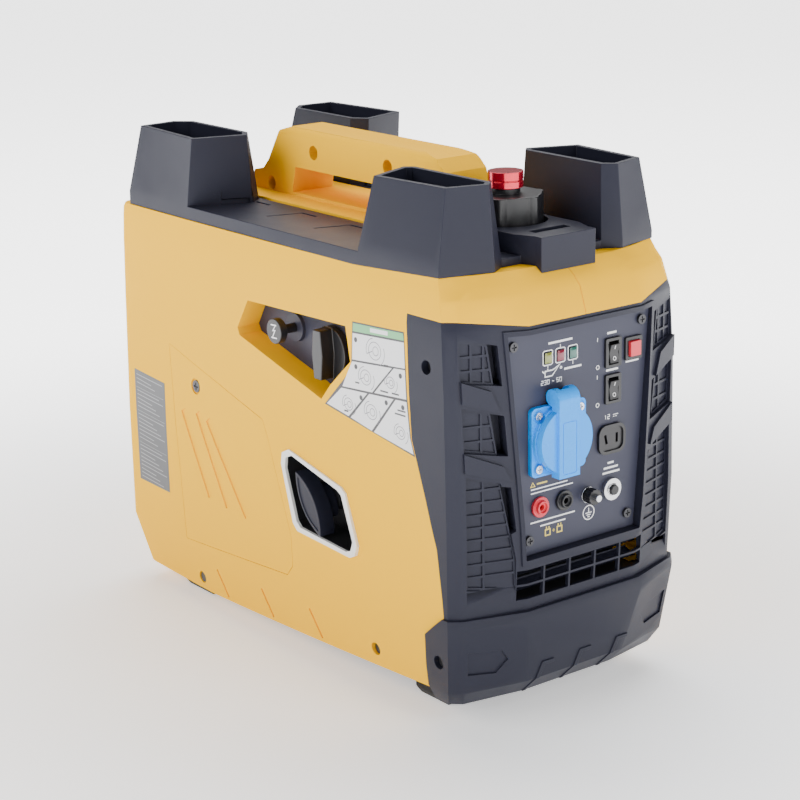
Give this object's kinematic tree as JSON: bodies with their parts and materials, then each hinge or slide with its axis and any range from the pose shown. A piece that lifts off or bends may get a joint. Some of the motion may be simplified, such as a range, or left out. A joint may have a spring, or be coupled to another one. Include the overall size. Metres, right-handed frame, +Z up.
{
  "type": "portable generator",
  "caption": "Suitcase style inverter generator with a faceted casing, corner posts, carrying handle, recoil starter, filler cap and a recessed panel of outlets and switches.",
  "frame": {"origin": "on the floor under the middle of the outer size", "axes": "+X towards the control panel, -Y towards the recoil starter, +Z up"},
  "size_m": [0.4666, 0.223, 0.388],
  "materials": {
    "casing_yellow": "satin moulded",
    "charcoal_plastic": "fine grained, satin",
    "panel_plastic": "smooth satin",
    "black_plastic": "semi gloss",
    "blue_plastic": "semi gloss",
    "white_plastic": "gloss",
    "red_plastic": "gloss",
    "red_anodised": "anodised, polished",
    "lens": "clear tinted",
    "zinc_steel": "plated",
    "dark_steel": "blackened",
    "cast_alloy": "as cast",
    "copper_brown": "varnished",
    "soft_rubber": "matt",
    "rope_cord": "braided"
  },
  "bodies": {
    "machine": {"air_filter": "charcoal_plastic", "base_tray": "charcoal_plastic", "black_jack": "black_plastic", "breaker_nut": "zinc_steel", "carburettor": "cast_alloy", "casing_screws": "dark_steel", "control_panel": "panel_plastic", "control_plate": "panel_plastic", "cylinder": "cast_alloy", "cylinder_head": "cast_alloy", "dc_outlet": "black_plastic", "earth_stud": "zinc_steel", "economy_switch_case": "black_plastic", "engine_block": "cast_alloy", "engine_mounts": "soft_rubber", "engine_switch_case": "black_plastic", "exhaust_outlet": "dark_steel", "feet": "soft_rubber", "front_bezel": "charcoal_plastic", "front_bumper": "charcoal_plastic", "fuel_tank": "black_plastic", "generator_stator": "copper_brown", "handle_left": "casing_yellow", "handle_right": "casing_yellow", "handle_screws": "dark_steel", "ignition_coil": "black_plastic", "indicator_lenses": "lens", "inverter_module": "cast_alloy", "left_shell": "casing_yellow", "lid_pin": "zinc_steel", "muffler": "dark_steel", "panel_screws": "dark_steel", "recoil_housing": "charcoal_plastic", "red_jack": "red_plastic", "reset_case": "black_plastic", "right_shell": "casing_yellow", "socket_body": "blue_plastic", "socket_screws": "zinc_steel", "spark_plug": "white_plastic", "starter_bezel": "white_plastic", "starter_pocket": "panel_plastic", "top_tray": "charcoal_plastic"},
    "lid": {"socket_lid": "blue_plastic"},
    "engine_rocker": {"engine_switch_rocker": "black_plastic"},
    "economy_rocker": {"economy_switch_rocker": "black_plastic"},
    "reset": {"reset_button": "red_plastic"},
    "breaker": {"breaker_button": "black_plastic"},
    "choke": {"choke_knob": "black_plastic"},
    "fuel_lever": {"fuel_dial": "black_plastic"},
    "starter_handle": {"starter_grip": "charcoal_plastic", "starter_rope": "rope_cord"},
    "pulley": {"starter_pulley": "white_plastic"},
    "crank": {"crankshaft": "dark_steel", "flywheel_fan": "cast_alloy", "generator_rotor": "dark_steel"},
    "filler_cap": {"fuel_cap": "black_plastic"},
    "vent": {"vent_knob": "red_anodised"},
    "earth_wing": {"earth_nut": "black_plastic"},
    "cover": {"service_cover": "casing_yellow", "service_screw": "dark_steel"}
  },
  "joints": [
    {"name": "socket_lid_hinge", "type": "hinge", "parent": "machine", "child": "lid", "pos_m": [0.2252, -0.0216, 0.2386], "axis": [0, -1, 0], "range_deg": [0, 95], "stiffness_Nm_per_rad": 0.01, "springref_deg": -20.05},
    {"name": "engine_switch_tip", "type": "hinge", "parent": "machine", "child": "engine_rocker", "pos_m": [0.215, 0.0316, 0.259], "axis": [0, -1, 0], "range_deg": [0, 14]},
    {"name": "economy_switch_tip", "type": "hinge", "parent": "machine", "child": "economy_rocker", "pos_m": [0.215, 0.0316, 0.2325], "axis": [0, -1, 0], "range_deg": [0, 14]},
    {"name": "reset_push", "type": "slide", "parent": "machine", "child": "reset", "axis": [-1, 0, 0], "range_m": [0, 0.002], "stiffness_N_per_m": 250, "springref_m": -0.002},
    {"name": "breaker_push", "type": "slide", "parent": "machine", "child": "breaker", "axis": [-1, 0, 0], "range_m": [0, 0.002], "stiffness_N_per_m": 250, "springref_m": -0.002},
    {"name": "choke_pull", "type": "slide", "parent": "machine", "child": "choke", "axis": [0, -1, 0], "range_m": [-0.01, 0.004]},
    {"name": "fuel_lever_turn", "type": "hinge", "parent": "machine", "child": "fuel_lever", "pos_m": [0.053, -0.095, 0.248], "axis": [0, -1, 0], "range_deg": [0, 90]},
    {"name": "starter_pull", "type": "slide", "parent": "machine", "child": "starter_handle", "axis": [0, -1, 0], "range_m": [0, 0.5], "stiffness_N_per_m": 8, "springref_m": -0.4},
    {"name": "pulley_spin", "type": "hinge", "parent": "machine", "child": "pulley", "pos_m": [0.066, -0.0607, 0.126], "axis": [0, -1, 0], "range_deg": [0, 1300]},
    {"name": "crank_spin", "type": "hinge", "parent": "machine", "child": "crank", "pos_m": [0.066, 0, 0.126], "axis": [0, 1, 0], "continuous": true},
    {"name": "filler_cap_lift", "type": "slide", "parent": "machine", "child": "filler_cap", "axis": [0, 0, 1], "range_m": [0, 0.06]},
    {"name": "vent_turn", "type": "hinge", "parent": "filler_cap", "child": "vent", "pos_m": [0.1405, 0, 0.372], "axis": [0, 0, 1], "range_deg": [0, 90]},
    {"name": "earth_nut_turn", "type": "hinge", "parent": "machine", "child": "earth_wing", "pos_m": [0.224, 0.0085, 0.1585], "axis": [1, 0, 0], "continuous": true},
    {"name": "cover_lift", "type": "slide", "parent": "machine", "child": "cover", "axis": [0, -1, 0], "range_m": [0, 0.08]}
  ],
  "couplings": [
    {"joint": "pulley_spin", "follows": "starter_pull", "rad_per_m": 44.2}
  ]
}
